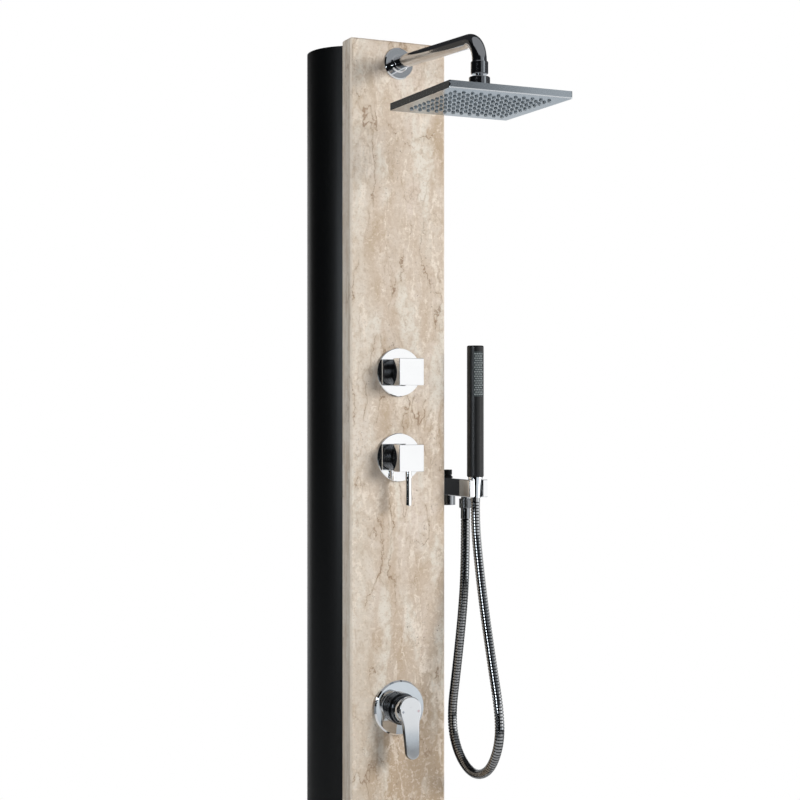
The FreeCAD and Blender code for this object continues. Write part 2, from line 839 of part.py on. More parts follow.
def lever_throat():
    # fills the corner between the hub's underside and the paddle's back with a hollow curve
    lean = math.tan(math.radians(lever_tilt))
    back = lever_out - lever_thick
    half = lever_half - lever_edge

    def spot(out, drop):
        return at(-half, out, z_mixer - drop)
    start = spot(back - lever_throat_r, hub_r)
    corner = spot(back + hub_r * lean, hub_r)
    end_drop = hub_r + lever_throat_r
    end = spot(back + end_drop * lean, end_drop)
    curve = bent_path([start, corner, end], [lever_throat_r])
    inside = [end, spot(lever_out - lever_thick / 2, 0), spot(back - lever_throat_r, 0), start]
    return Part.Face(Part.Wire(curve.Edges + Part.makePolygon(inside).Edges)).extrude(rightward * (2 * half))


def mixer_lever():
    plate = Part.Face(lever_outline()).extrude(forward * -lever_thick)
    plate = leaned(plate.makeFillet(lever_edge, lever_outline_edges(plate)))
    pivot = at(0, pivot_out, z_mixer)
    dome = Part.makeSphere(dome_r, pivot).common(
        rod(2 * hub_r, pivot + forward * hub_r, pivot - forward * hub_tail))
    hub = rod(hub_r, pivot, at(0, lever_out - lever_thick / 2, z_mixer))
    lever = plate.fuse([dome, hub, lever_throat()]).removeSplitter()
    voids = [rod(hub_hollow_r, pivot + forward * hub_hollow, pivot - forward * hub_r),
             pivot_rod(pivot_r + fit, pivot_half + air)]
    for side in (-1, 1):
        voids.append(mixer_mark(side, mark_r + fit))
    return lever.cut(voids)


def mixer_mark(side, radius=mark_r):
    front = at(side * mark_side, lever_out, z_mixer + mark_lift)
    return leaned(rod(radius, front - forward * mark_depth, front))


# Hand shower outlet, holder and hose

def bolt_axis(z):
    return in_gap(x_hand, z)


def outlet_axis(z):
    return at(x_hand, -outlet_in, z)


def hand_axis(z):
    return at(x_hand, hand_out, z)


def cone_radius(z):
    return cone_end_r + (cone_top_r - cone_end_r) * (z - z_cone) / cone_length


def holder_bar():
    half = bar_width / 2
    bar = box(x_hand - half, x_hand + half, y_face - bar_front, y_pipe + bar_tail, z_bar, z_bar_top)
    bar = bar.makeChamfer(bar_edge, bar.Edges)
    seat = Part.makeCone(cone_radius(z_bar) + seat_gap, cone_radius(z_bar_top) + seat_gap, bar_height,
                         hand_axis(z_bar), up)
    slot_half = hose_end_r + fork_room / 2
    slot = box(x_hand - slot_half, x_hand + slot_half, y_face - bar_front, y_face - hand_out,
               z_bar, z_bar_top)
    water_z = (z_bar + z_bar_top) / 2
    voids = [seat, slot, rod(holder_bolt_r + fit, bolt_axis(z_bar), bolt_axis(z_bar_top)),
             rod(nipple_r + fit, outlet_axis(z_bar), outlet_axis(water_z)),
             rod(nipple_bore_r, outlet_axis(water_z), bolt_axis(water_z))]
    return bar.cut(voids)


def holder_banjo():
    low = bolt_axis(z_bar - banjo_height)
    eye = rod(banjo_r, low, bolt_axis(z_bar))
    mouth = bolt_axis(z_banjo) - rightward * banjo_stub
    body = eye.fuse(rod(banjo_stub_r, mouth, bolt_axis(z_banjo))).removeSplitter()
    voids = [rod(holder_bolt_r + fit, low, bolt_axis(z_bar)),
             rod(hand_pipe_r - pipe_wall, mouth, bolt_axis(z_banjo)),
             pipe_socket(mouth, rightward, hand_pipe_r)]
    return body.cut(voids)


def holder_bolt():
    seat = bar_height + banjo_height
    under_head = seat + holder_cone
    top = under_head + holder_head
    profile = [(0, 0), (holder_bolt_r, 0), (holder_bolt_r, seat), (holder_cone_r, seat),
               (holder_bolt_r, under_head), (holder_head_r, under_head), (holder_head_r, top), (0, top)]
    return turned(profile, bolt_axis(z_bar - banjo_height), up)


def outlet_nipple():
    top = outlet_axis((z_bar + z_bar_top) / 2)
    end = outlet_axis(z_bar - hose_nut_gap - hose_nut_height / 2)
    return pipe_between(end, top, nipple_r, nipple_r - nipple_bore_r)


def hose_nut():
    top = outlet_axis(z_bar - hose_nut_gap)
    low = top - up * hose_nut_height
    middle = top - up * (hose_nut_height / 2)
    edge = flute_r
    profile = [(0, 0), (hose_nut_r - edge, 0), (hose_nut_r, edge), (hose_nut_r, hose_nut_height - edge),
               (hose_nut_r - edge, hose_nut_height), (0, hose_nut_height)]
    body = turned(profile, low, up)
    voids = [rod(nipple_r + fit, middle, top), rod(ferrule_r + fit, low, middle)]
    for step in range(nut_flutes):
        turn = 2 * math.pi * step / nut_flutes
        side = Vector(math.cos(turn), math.sin(turn), 0) * (hose_nut_r + flute_r / 2)
        voids.append(rod(flute_r, low + side, top + side))
    return body.cut(voids)


def hose_ferrule():
    top = outlet_axis(z_bar - hose_nut_gap - hose_nut_height / 2 - fit)
    return pipe_between(outlet_axis(z_hose_start), top, ferrule_r, ferrule_r - hose_bore_r)


def hose_points():
    inner = [Vector(x_hand, y_face + back, z_bar - drop) for back, drop in hose_route]
    return [outlet_axis(z_hose_start)] + inner + [hand_axis(z_hose_top)]


def spot_on(path, distance):
    # the point and direction so far along a path
    edges = path.Edges
    while len(edges) > 1 and distance > edges[0].Length:
        distance -= edges[0].Length
        edges = edges[1:]
    place = edges[0].getParameterByLength(min(distance, edges[0].Length))
    return edges[0].valueAt(place), edges[0].tangentAt(place)


def hose_ring(path, distance, radius):
    centre, way = spot_on(path, distance)
    circle = Part.Circle(centre, way, radius)
    circle.XAxis = rightward
    return Part.Wire(circle.toShape())


def hose_path():
    points = hose_points()
    radii = [bend_radius(*three) for three in zip(points, points[1:], points[2:])]
    print("hose bends", [round(radius) for radius in radii])
    return bent_path(points, radii)


def hose_stretch(path, start, end):
    # a ribbed tube along part of the path, plain for one diameter at each end
    plain = 2 * hose_r
    ribs = round((end - start - 2 * plain) / rib_pitch)
    pitch = (end - start - 2 * plain) / ribs
    slope = rib_slope * pitch
    rings = [hose_ring(path, start, hose_root_r)]
    for rib in range(ribs):
        low = start + plain + pitch * rib
        high = low + pitch
        rings.append(hose_ring(path, low + slope / 2, hose_root_r))
        rings.append(hose_ring(path, low + 3 * slope / 2, hose_r))
        rings.append(hose_ring(path, high - 3 * slope / 2, hose_r))
        rings.append(hose_ring(path, high - slope / 2, hose_root_r))
    rings.append(hose_ring(path, end, hose_root_r))
    hose = Part.makeLoft(rings, True, True).cut(swept(path, hose_bore_r))
    root_area = math.pi * (hose_root_r ** 2 - hose_bore_r ** 2)
    crest_area = math.pi * (hose_r ** 2 - hose_bore_r ** 2)
    print("hose ribs", ribs, "length", round(end - start, 1), "volume", round(hose.Volume),
          "between", round(root_area * (end - start)), "and", round(crest_area * (end - start)))
    return hose


def hose_stretches():
    path = hose_path()
    runs = path.Edges[:2 * rear_run_count]
    split = sum(edge.Length for edge in runs) + path.Edges[2 * rear_run_count].Length / 2
    return hose_stretch(path, 0, split), hose_stretch(path, split, path.Length)


# Hand shower

def hose_end_piece():
    collar = rod(hose_end_r, hand_axis(z_hose_top), hand_axis(z_cone))
    stem = rod(hose_stem_r, hand_axis(z_cone), hand_axis(z_cone + hose_stem))
    water = rod(nipple_bore_r, hand_axis(z_hose_top), hand_axis(z_cone + hose_stem))
    return collar.fuse(stem).removeSplitter().cut(water)


def hand_cone():
    body = Part.makeCone(cone_end_r, cone_top_r, cone_length - fit, hand_axis(z_cone + fit), up)
    body = body.fuse(rod(cone_spigot_r, hand_axis(z_hand), hand_axis(z_hand + cone_spigot)))
    voids = [rod(hose_stem_r + fit, hand_axis(z_cone), hand_axis(z_cone + hose_stem + air)),
             rod(nipple_bore_r, hand_axis(z_cone), hand_axis(z_hand + cone_spigot))]
    return body.removeSplitter().cut(voids)


def spray_window(slack):
    half = spray_half_width + slack
    top = z_hand + hand_length - spray_top + slack
    low = top - spray_height - 2 * slack
    y_hand = y_face - hand_out
    return box(x_hand - half, x_hand + half, y_hand - 2 * hand_r, y_hand - hand_r / 2, low, top)


def hand_body():
    top = z_hand + hand_length
    profile = [(0, 0), (hand_r - hand_edge, 0), (hand_r, hand_edge), (hand_r, hand_length - hand_edge),
               (hand_r - hand_edge, hand_length), (0, hand_length)]
    body = turned(profile, hand_axis(z_hand), up)
    voids = [rod(cone_spigot_r + fit, hand_axis(z_hand), hand_axis(z_hand + hand_floor)),
             rod(hand_r - hand_wall, hand_axis(z_hand + hand_floor), hand_axis(top - hand_wall)),
             spray_window(seam)]
    return body.cut(voids)


def hand_spray():
    outer = hand_r - spray_sink
    low = hand_axis(z_hand)
    high = hand_axis(z_hand + hand_length)
    curved = pipe_between(low, high, outer, spray_thick).common(spray_window(0))
    depth = spray_thick + spray_sink
    return curved.cut([jet(place, way, -depth, jet_r + fit) for place, way in jet_places()])


def jet_places():
    # staggered rows round the hand shower's front
    pitch = spray_height / (jet_rows + 1)
    low = z_hand + hand_length - spray_top - spray_height
    places = []
    for row in range(jet_rows):
        columns = jet_columns - row % 2
        for column in range(columns):
            turn = math.radians(jet_angle * (column - (columns - 1) / 2))
            way = Vector(math.sin(turn), -math.cos(turn), 0)
            place = hand_axis(low + pitch * (row + 1)) + way * (hand_r - spray_sink)
            places.append((place, way))
    return places


def jet(place, way, back, radius):
    return rod(radius, place + way * back, place + way * jet_out)


def hand_jets():
    return group([jet(place, way, -spray_thick / 2, jet_r) for place, way in jet_places()])


export("base_plate", base_plate())
export("panel_pad", panel_pad())
export("stone_panel", stone_panel())
export("tank_tube", tank_tube())
export("tank_cap", tank_cap())
export("tank_foot", tank_foot())
export("end_spacers", group([spacer(lower_spacer_z), spacer(z_upper_spacer)]))
export("middle_spacer", middle_spacer())
export("frame_screws", frame_screws())
export("cold_tee", cold_tee())
export("hot_elbow", hot_elbow())
export("cold_pipe", cold_pipe())
export("hot_pipe", hot_pipe())
export("riser_pipes", riser_pipes())
export("hand_pipe", hand_pipe())
export("arm_elbow", arm_elbow())
export("arm_rose", arm_rose())
export("shower_arm", shower_arm())
export("arm_nut", arm_nut())
export("swivel_ball", swivel_ball())
export("swivel_collar", swivel_collar())
export("ball_seal", ball_seal())
export("head_cover", head_cover())
export("head_face", head_face())
export("head_nozzles", head_nozzles())
for name, height, has_outlet in (("upper", z_upper, False), ("middle", z_middle, True)):
    export(name + "_valve_body", valve_body(height, has_outlet))
    export(name + "_cartridge", valve_cartridge(height))
    export(name + "_rose", valve_rose(height))
    export(name + "_sleeve", valve_sleeve(height))
    export(name + "_spindle", valve_spindle(height))
export("upper_knob", square_knob(z_upper))
export("middle_knob", middle_knob())
export("middle_pin", middle_pin())
export("mixer_body", mixer_body())
export("mixer_cartridge", mixer_cartridge())
export("mixer_rose", mixer_rose())
export("mixer_sleeve", mixer_sleeve())
export("mixer_stem", mixer_stem())
export("mixer_pivot", pivot_rod(pivot_r, pivot_half))
export("mixer_lever", mixer_lever())
export("cold_mark", mixer_mark(-1))
export("hot_mark", mixer_mark(1))
export("holder_bar", holder_bar())
export("holder_banjo", holder_banjo())
export("holder_bolt", holder_bolt())
export("outlet_nipple", outlet_nipple())
export("hose_nut", hose_nut())
export("hose_ferrule", hose_ferrule())
rear_hose, front_hose = hose_stretches()
export("hose_rear", rear_hose)
export("hose_front", front_hose)
export("hose_end", hose_end_piece())
export("hand_cone", hand_cone())
export("hand_body", hand_body())
export("hand_spray", hand_spray())
export("hand_jets", hand_jets())
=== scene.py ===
import math
import bpy
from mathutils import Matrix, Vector


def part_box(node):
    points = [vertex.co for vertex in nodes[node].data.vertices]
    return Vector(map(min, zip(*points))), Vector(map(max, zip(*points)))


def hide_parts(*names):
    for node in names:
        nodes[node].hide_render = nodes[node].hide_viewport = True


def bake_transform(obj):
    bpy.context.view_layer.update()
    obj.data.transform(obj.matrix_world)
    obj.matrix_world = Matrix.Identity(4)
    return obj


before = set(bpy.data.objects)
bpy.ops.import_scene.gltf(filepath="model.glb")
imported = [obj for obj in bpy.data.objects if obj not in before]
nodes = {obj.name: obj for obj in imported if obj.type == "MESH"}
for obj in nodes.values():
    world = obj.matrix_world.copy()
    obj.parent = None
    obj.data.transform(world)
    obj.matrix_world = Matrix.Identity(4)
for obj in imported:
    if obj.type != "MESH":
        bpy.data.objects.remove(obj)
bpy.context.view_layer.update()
print("frame:", len(nodes), "nodes")

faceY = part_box("stone_panel")[0].y  # the panel's face
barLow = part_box("holder_bar")[0].z
plainWhite = (1.0, 1.0, 1.0, 1.0)


# Camera

cameraSet = {
    "place": (-1.1368, -2.5520, 1.6004),
    "heading": -25.1,  # degrees, to the right of straight ahead
    "lens": 73.89,
    "sensor": 36.0,
    "shiftY": 0.01025,
}


def addCamera():
    lens = bpy.data.cameras.new("camera")
    lens.lens = cameraSet["lens"]
    lens.sensor_width = cameraSet["sensor"]
    lens.shift_y = cameraSet["shiftY"]
    camera = bpy.data.objects.new("camera", lens)
    camera.location = cameraSet["place"]
    camera.rotation_euler = (math.radians(90), 0, math.radians(cameraSet["heading"]))  # level
    bpy.context.scene.collection.objects.link(camera)
    bpy.context.scene.camera = camera


addCamera()
print("camera: set")


# Shader sums

class Wire:
    def __init__(self, tree, socket=None):
        self.tree = tree
        self.socket = socket

    def node(self, kind, settings=None, inputs=None, out=0):
        made = self.tree.nodes.new(kind)
        for name, value in (settings or {}).items():
            if name == "stops":
                setStops(made.color_ramp, value)
            else:
                setattr(made, name, value)
        for name, value in (inputs or {}).items():
            feed(made.inputs[name], value)
        return Wire(self.tree, made.outputs[out])

    def sum(self, operation, first, second):
        return self.node("ShaderNodeMath", {"operation": operation}, {0: first, 1: second})

    def __add__(self, other):
        return self.sum("ADD", self, other)

    __radd__ = __add__

    def __sub__(self, other):
        return self.sum("SUBTRACT", self, other)

    def __rsub__(self, other):
        return self.sum("SUBTRACT", other, self)

    def __mul__(self, other):
        return self.sum("MULTIPLY", self, other)

    __rmul__ = __mul__

    def __gt__(self, other):
        return self.sum("GREATER_THAN", self, other)

    def __abs__(self):
        return self.sum("ABSOLUTE", self, 0.0)


def feed(socket, value):
    if isinstance(value, Wire):
        value.tree.links.new(value.socket, socket)
    else:
        socket.default_value = value


def setStops(band, stops):
    while len(band.elements) < len(stops):
        band.elements.new(1.0)
    for element, (place, colour) in zip(band.elements, stops):
        element.position = place
        element.color = colour


def seen(red, green, blue):  # a colour as it looks on a screen, 0 to 255
    def linear(level):
        share = level / 255
        return share / 12.92 if share <= 0.04045 else ((share + 0.055) / 1.055) ** 2.4
    return (linear(red), linear(green), linear(blue), 1.0)


def shaded(colour, share):
    return tuple(level * share for level in colour[:3]) + (1.0,)


def startFinish(name):
    material = bpy.data.materials.new(name)
    material.use_nodes = True
    shader = material.node_tree.nodes["Principled BSDF"]
    place = Wire(material.node_tree).node("ShaderNodeTexCoord", out="Object")
    return material, shader.inputs, place


def stretched(place, factors):
    return place.node("ShaderNodeVectorMath", {"operation": "MULTIPLY"}, {0: place, 1: factors})


def pushed(place, push, reach):  # moves a place by a colour's offset from grey
    grey = (0.5, 0.5, 0.5)
    offset = place.node("ShaderNodeVectorMath", {"operation": "SUBTRACT"}, {0: push, 1: grey})
    scaled = stretched(offset, (reach, reach, reach))
    return place.node("ShaderNodeVectorMath", {"operation": "ADD"}, {0: place, 1: scaled})


def noise(place, scale, detail=3.0, rough=0.5, out=0):
    sockets = {"Vector": place, "Scale": scale, "Detail": detail, "Roughness": rough}
    return place.node("ShaderNodeTexNoise", None, sockets, out)


def cells(place, scale, out="Distance"):
    return place.node("ShaderNodeTexVoronoi", None, {"Vector": place, "Scale": scale}, out)


def ramp(value, stops):
    return value.node("ShaderNodeValToRGB", {"stops": stops}, {"Fac": value})


def mixed(share, first, second):
    return share.node("ShaderNodeMix", {"data_type": "RGBA"}, {0: share, 6: first, 7: second}, 2)


def eased(value, low, high):  # 0 at low, 1 at high
    sockets = {"Value": value, "From Min": low, "From Max": high}
    return value.node("ShaderNodeMapRange", {"interpolation_type": "SMOOTHSTEP"}, sockets)


def lineMask(value, level, inner, outer):  # 1 along the line where value is at level
    return 1 - eased(abs(value - level), inner, outer)


def axisOf(place, axis):  # 0, 1 or 2 for x, y or z
    return place.node("ShaderNodeSeparateXYZ", None, {0: place}, axis)


def facingOf(place, axis):  # 1 where the surface faces along the axis, either way
    return abs(axisOf(place.node("ShaderNodeTexCoord", out="Normal"), axis))


def bumped(height, depth, strength=1.0, under=None):
    inputs = {"Strength": strength, "Distance": depth, "Height": height}
    if under:
        inputs["Normal"] = under
    return height.node("ShaderNodeBump", None, inputs)


def relief(sockets, height, depth, strength=1.0, under=None):
    feed(sockets["Normal"], bumped(height, depth, strength, under))


# Finishes

stoneSet = {
    "colours": {
        "tan": seen(187, 167, 144),
        "beige": seen(203, 186, 168),
        "sand": seen(210, 196, 181),
        "blush": seen(216, 202, 189),
        "umber": seen(172, 149, 122),
        "mist": seen(223, 216, 204),
        "cream": seen(232, 221, 207),
        "vein": seen(138, 111, 86),
        "pit": seen(108, 87, 68),
        "sawn": seen(192, 189, 182),
    },
    "bands": [(0.36, "tan"), (0.46, "beige"), (0.53, "sand"), (0.62, "blush")],
    "bandNoise": (17.0, 6.0, 0.6),  # scale, detail and roughness, as in every noise here
    "marks": {  # in the order they are laid: colour, and how strongly it shows
        # painted shade, darker towards the bottom
        "low": ("umber", 0.95),
        "mist": ("mist", 0.9),
        "margin": ("mist", 0.5),
        "thread": ("cream", 0.8),
        "mottle": ("tan", 0.65),
        "crumb": ("cream", 0.5),
        "speck": ("umber", 0.35),
        "stain": ("tan", 0.35),
        "haze": ("tan", 0.35),
        "vein": ("vein", 0.75),
        "wisp": ("vein", 0.35),
        "fleck": ("cream", 0.55),
        "pit": ("pit", 0.75),
        "sawn": ("sawn", 0.4),
        "streak": ("umber", 0.4),
        # painted highlight along the chamfered arris
        "arrisHighlight": ("cream", 0.6),
    },
    "patches": {  # a noise, then the levels where the mark starts and is full
        "mist": (26.0, 3.0, 0.5, 0.5, 0.63),
        "thread": (20.0, 2.0, 0.5, 0.43, 0.54),
        "mottle": (85.0, 6.0, 0.7, 0.47, 0.64),
        "crumb": (170.0, 4.0, 0.6, 0.52, 0.64),
        "speck": (260.0, 3.0, 0.6, 0.52, 0.66),
        "fleck": (24.0, 2.0, 0.5, 0.42, 0.55),
        "pit": (34.0, 3.0, 0.5, 0.53, 0.64),
        "streak": (150.0, 3.0, 0.6, 0.45, 0.65),
    },
    "pushes": {  # a noise, then how far it moves the pattern, in metres
        "sway": (9.0, 5.0, 0.6, 0.09),
        "fine": (90.0, 4.0, 0.65, 0.022),
        "ragged": (70.0, 3.0, 0.6, 0.016),
        "wander": (60.0, 3.0, 0.6, 0.014),
    },
    "beds": 0.4,  # they stand on end: the less, the taller a pattern is drawn
    "mistBeds": 0.55,
    "veinBeds": 0.8,
    "streakBeds": 0.1,
    "shadeBelowHeights": (0.85, 1.4),  # painted shade, darker below
    "marginSides": (-0.068, -0.03),  # paler to the left
    "fleckSides": (-0.08, 0.03),  # flecks to the right
    "threadNoise": (30.0, 2.0),
    "threadLine": (0.47, 0.006, 0.03),  # level, then how far from it the line is full and gone
    "veinScales": {"vein": 17.0, "wisp": 29.0},
    "veinDetail": 2.0,
    "veinLine": (0.5, 0.001, 0.008),
    "stainLine": (0.5, 0.006, 0.05),
    "breakScale": 0.8,  # share of the vein's own scale
    "breakDetail": 3.0,
    "breakLevels": (0.46, 0.56),
    "fleckSpots": (110.0, 0.35, 0.5),  # scale, reach in a cell, share of cells left bare
    "pitSpots": (230.0, 0.28, 0.55),
    "sawnFacing": (0.8, 0.95),
    "arrisFacing": (0.4, 0.6),
    "grain": (480.0, 3.0, 0.6),
    "rough": 0.42,
    "roughGrain": 0.2,
    "roughPit": 0.2,
    "grainRise": 0.06,
    "veinDip": 0.4,
    "depth": 0.0005,
}


def drawnUp(place, share):
    return stretched(place, (1.0, 1.0, share))


def shaken(place, over, name):  # a place pushed about by noise
    scale, detail, rough, reach = stoneSet["pushes"][name]
    return pushed(place, noise(over, scale, detail, rough, "Color"), reach)


def patches(place, name):
    scale, detail, rough, low, high = stoneSet["patches"][name]
    return eased(noise(place, scale, detail, rough), low, high)


def spotMask(place, scale, reach, bare):  # round marks in some of the cells
    spot = 1 - eased(cells(place, scale), reach / 2, reach)
    return spot * (axisOf(cells(place, scale, "Color"), 0) > bare)


def veinMasks(place, sway, fine, scale):  # thin, wandering and broken, with a soft stain round each
    look = stoneSet
    wander = shaken(sway, fine, "wander")
    crack = noise(drawnUp(wander, look["veinBeds"]), scale, look["veinDetail"])
    broken = noise(place, scale * look["breakScale"], look["breakDetail"])
    broken = eased(broken, *look["breakLevels"])
    return lineMask(crack, *look["veinLine"]) * broken, lineMask(crack, *look["stainLine"]) * broken


def stoneMasks(place):
    look = stoneSet
    upright = drawnUp(place, look["beds"])
    sway = shaken(upright, upright, "sway")
    fine = shaken(place, place, "fine")
    ragged = shaken(sway, fine, "ragged")
    thread = noise(drawnUp(ragged, look["beds"]), *look["threadNoise"])
    vein, stain = veinMasks(place, sway, fine, look["veinScales"]["vein"])
    wisp, haze = veinMasks(place, sway, fine, look["veinScales"]["wisp"])
    fleck = spotMask(fine, *look["fleckSpots"]) * patches(upright, "fleck")
    facing = facingOf(place, 0)
    sawn = eased(facing, *look["sawnFacing"])
    return ragged, {
        # painted shade, darker towards the bottom
        "low": 1 - eased(axisOf(place, 2), *look["shadeBelowHeights"]),
        "mist": patches(drawnUp(ragged, look["mistBeds"]), "mist"),
        "margin": 1 - eased(axisOf(ragged, 0), *look["marginSides"]),
        "thread": lineMask(thread, *look["threadLine"]) * patches(sway, "thread"),
        "mottle": patches(fine, "mottle"),
        "crumb": patches(fine, "crumb"),
        "speck": patches(place, "speck"),
        "stain": stain,
        "haze": haze,
        "vein": vein,
        "wisp": wisp,
        "fleck": fleck * eased(axisOf(place, 0), *look["fleckSides"]),
        "pit": spotMask(fine, *look["pitSpots"]) * patches(sway, "pit"),
        "sawn": sawn,
        "streak": sawn * patches(drawnUp(place, look["streakBeds"]), "streak"),
        # painted highlight along the chamfered arris
        "arrisHighlight": eased(facing, *look["arrisFacing"]) - sawn,
    }


def stoneFinish():
    look = stoneSet
    colours = look["colours"]
    material, sockets, place = startFinish("travertine")
    ragged, masks = stoneMasks(place)
    bands = [(level, colours[colour]) for level, colour in look["bands"]]
    body = ramp(noise(ragged, *look["bandNoise"]), bands)
    for mark, (colour, share) in look["marks"].items():
        body = mixed(masks[mark] * share, body, colours[colour])
    grain = noise(place, *look["grain"])
    pit = masks["pit"]
    feed(sockets["Base Color"], body)
    feed(sockets["Roughness"], look["rough"] + grain * look["roughGrain"] + pit * look["roughPit"])
    relief(sockets, grain * look["grainRise"] - pit - masks["vein"] * look["veinDip"], look["depth"])
    return material


paintSet = {
    "coats": {  # material, colour, roughness, shine and depth of the orange peel
        "tankBlack": ("tank_paint", seen(10, 11, 12), 0.36, 0.35, 0.00002),
        "frameBlack": ("powder_coat", seen(22, 23, 25), 0.55, 0.2, 0.00006),
    },
    "cloud": (5.0, 3.0),
    "grain": (900.0, 2.0),
    "dust": (40.0, 5.0, 0.7),
    "dustLevels": (0.55, 0.8),
    "darker": 0.8,
    "roughDust": 0.06,
    "roughCloud": 0.05,
}


def paintFinish(name, colour, rough, shine, peel):
    look = paintSet
    material, sockets, place = startFinish(name)
    sockets["Specular IOR Level"].default_value = shine
    cloud = noise(place, *look["cloud"])
    dust = eased(noise(place, *look["dust"]), *look["dustLevels"])
    feed(sockets["Base Color"], mixed(cloud, shaded(colour, look["darker"]), colour))
    feed(sockets["Roughness"], rough + dust * look["roughDust"] + cloud * look["roughCloud"])
    relief(sockets, noise(place, *look["grain"]), peel)
    return material


metalSet = {
    "tones": {  # colour and roughness
        "chrome": (seen(252, 253, 254), 0.035),
        "satin": (seen(221, 224, 227), 0.13),
        "smokeChrome": (seen(206, 207, 209), 0.07),
        "blackChrome": (seen(104, 107, 111), 0.07),
        "darkChrome": (seen(128, 131, 134), 0.1),
        "hoseChrome": (seen(160, 162, 164), 0.05),
        # painted shade in the hose's grooves
        "hoseGrooveShade": (seen(30, 31, 33), 0.3),
        "brushed": (seen(208, 212, 216), 0.12),
        "sprayFace": (seen(148, 159, 168), 0.1),
        "steel": (seen(200, 200, 198), 0.28),
        "brass": (seen(214, 182, 112), 0.3),
        "copper": (seen(205, 146, 112), 0.27),
    },
    "cloud": (26.0, 4.0, 0.6),
    "hairline": (1400.0, 2.0),
    "drawn": (1.0, 1.0, 0.08),  # hairlines run up and down
    "duller": 0.94,
    "roughCloud": 0.03,
    "roughHairline": 0.012,
    "scratch": 0.000006,
    "scratchStrength": 0.3,
}

leverSet = {
    "middle": 1.12,  # height where its bowed front stands upright
    "bend": 0.98,
    # painted shade: the paddle's sides are coloured dark for the dark they reflect
    "edge": seen(66, 68, 71),  # the paddle's sides
    "edgeTop": 1.09,
    "edgeFade": 0.01,
    "edgeFacing": (0.4, 0.9),
}


def crowned(place):
    rise = axisOf(place, 2) - leverSet["middle"]
    return bumped(rise * rise * -leverSet["bend"], 1.0)


# painted shade on the paddle's sides, below its top
def paddleSideShade(place):
    top = leverSet["edgeTop"]
    below = 1 - eased(axisOf(place, 2), top - leverSet["edgeFade"], top)
    return (1 - eased(facingOf(place, 1), *leverSet["edgeFacing"])) * below


headSet = {"reach": 0.002, "depth": 0.00016}  # its lower edge turns in


def rolled(place):
    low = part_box("head_cover")[0].z
    return bumped(eased(axisOf(place, 2), low, low + headSet["reach"]), headSet["depth"])


ringSet = {"round": 0.001, "samples": 8}  # the sleeves' rings have rounded edges


def softened(place):
    return place.node("ShaderNodeBevel", {"samples": ringSet["samples"]}, {"Radius": ringSet["round"]})


curves = {"satin": crowned, "brushed": rolled, "blackChrome": softened}


def metalFinish(name, colour, rough):
    look = metalSet
    material, sockets, place = startFinish(name)
    cloud = noise(place, *look["cloud"])
    hairline = noise(stretched(place, look["drawn"]), *look["hairline"])
    tone = mixed(cloud, colour, shaded(colour, look["duller"]))
    if name == "satin":
        # the lever's sides take a painted shade
        tone = mixed(paddleSideShade(place), tone, leverSet["edge"])
    curve = curves[name](place) if name in curves else None
    feed(sockets["Base Color"], tone)
    feed(sockets["Metallic"], 1.0)
    feed(sockets["Roughness"], rough + cloud * look["roughCloud"] + hairline * look["roughHairline"])
    relief(sockets, hairline, look["scratch"], look["scratchStrength"], curve)
    return material


softSet = {
    "tones": {  # colour and roughness
        "handBlack": (seen(12, 13, 14), 0.33),
        "sprayPlate": (seen(56, 62, 63), 0.45),
        "jet": (seen(146, 153, 154), 0.5),
        "nozzle": (seen(182, 192, 199), 0.45),
        "pad": (seen(38, 38, 38), 0.7),
        "white": (seen(225, 225, 220), 0.35),
        "cold": (seen(160, 168, 180), 0.3),
        "hot": (seen(200, 178, 184), 0.3),
    },
    "cloud": (30.0, 3.0),
    "grain": (1300.0, 2.0),
    "darker": 0.86,
    "roughCloud": 0.06,
    "roughGrain": 0.05,
    "grainDepth": 0.00002,
}


def mouldedFinish(name, colour, rough):
    look = softSet
    material, sockets, place = startFinish(name)
    cloud = noise(place, *look["cloud"])
    grain = noise(place, *look["grain"])
    feed(sockets["Base Color"], mixed(cloud, shaded(colour, look["darker"]), colour))
    feed(sockets["Roughness"], rough + cloud * look["roughCloud"] + grain * look["roughGrain"])
    relief(sockets, grain, look["grainDepth"])
    return material


finishes = {"stone": stoneFinish()}
for name, look in paintSet["coats"].items():
    finishes[name] = paintFinish(*look)
for name, look in metalSet["tones"].items():
    finishes[name] = metalFinish(name, *look)
for name, look in softSet["tones"].items():
    finishes[name] = mouldedFinish(name, *look)

nodeFinish = {
    "stone": ["stone_panel"],
    "tankBlack": ["tank_tube", "tank_cap", "tank_foot"],
    "frameBlack": ["base_plate", "end_spacers", "middle_spacer", "holder_bolt"],
    "pad": ["panel_pad", "ball_seal"],
    "steel": ["frame_screws", "mixer_pivot"],
    "brass": ["cold_tee", "hot_elbow", "arm_elbow", "upper_valve_body", "middle_valve_body",
              "upper_spindle", "middle_spindle"],
    "copper": ["cold_pipe", "hot_pipe", "riser_pipes", "hand_pipe"],
    "chrome": ["arm_rose", "upper_rose", "upper_knob", "middle_rose", "middle_knob", "middle_pin",
               "mixer_rose", "holder_bar", "hand_cone"],
    "smokeChrome": ["shower_arm", "arm_nut", "swivel_collar"],
    "satin": ["mixer_lever"],
    "blackChrome": ["upper_sleeve", "middle_sleeve", "mixer_sleeve", "mixer_stem", "swivel_ball"],
    "darkChrome": ["holder_banjo", "hose_nut", "hose_ferrule", "outlet_nipple", "mixer_body"],
    "hoseChrome": ["hose_rear", "hose_front", "hose_end"],
    "brushed": ["head_cover"],
    "sprayFace": ["head_face"],
    "nozzle": ["head_nozzles"],
    "handBlack": ["hand_body"],
    "sprayPlate": ["hand_spray"],
    "jet": ["hand_jets"],
    "white": ["upper_cartridge", "middle_cartridge", "mixer_cartridge"],
    "cold": ["cold_mark"],
    "hot": ["hot_mark"],
}


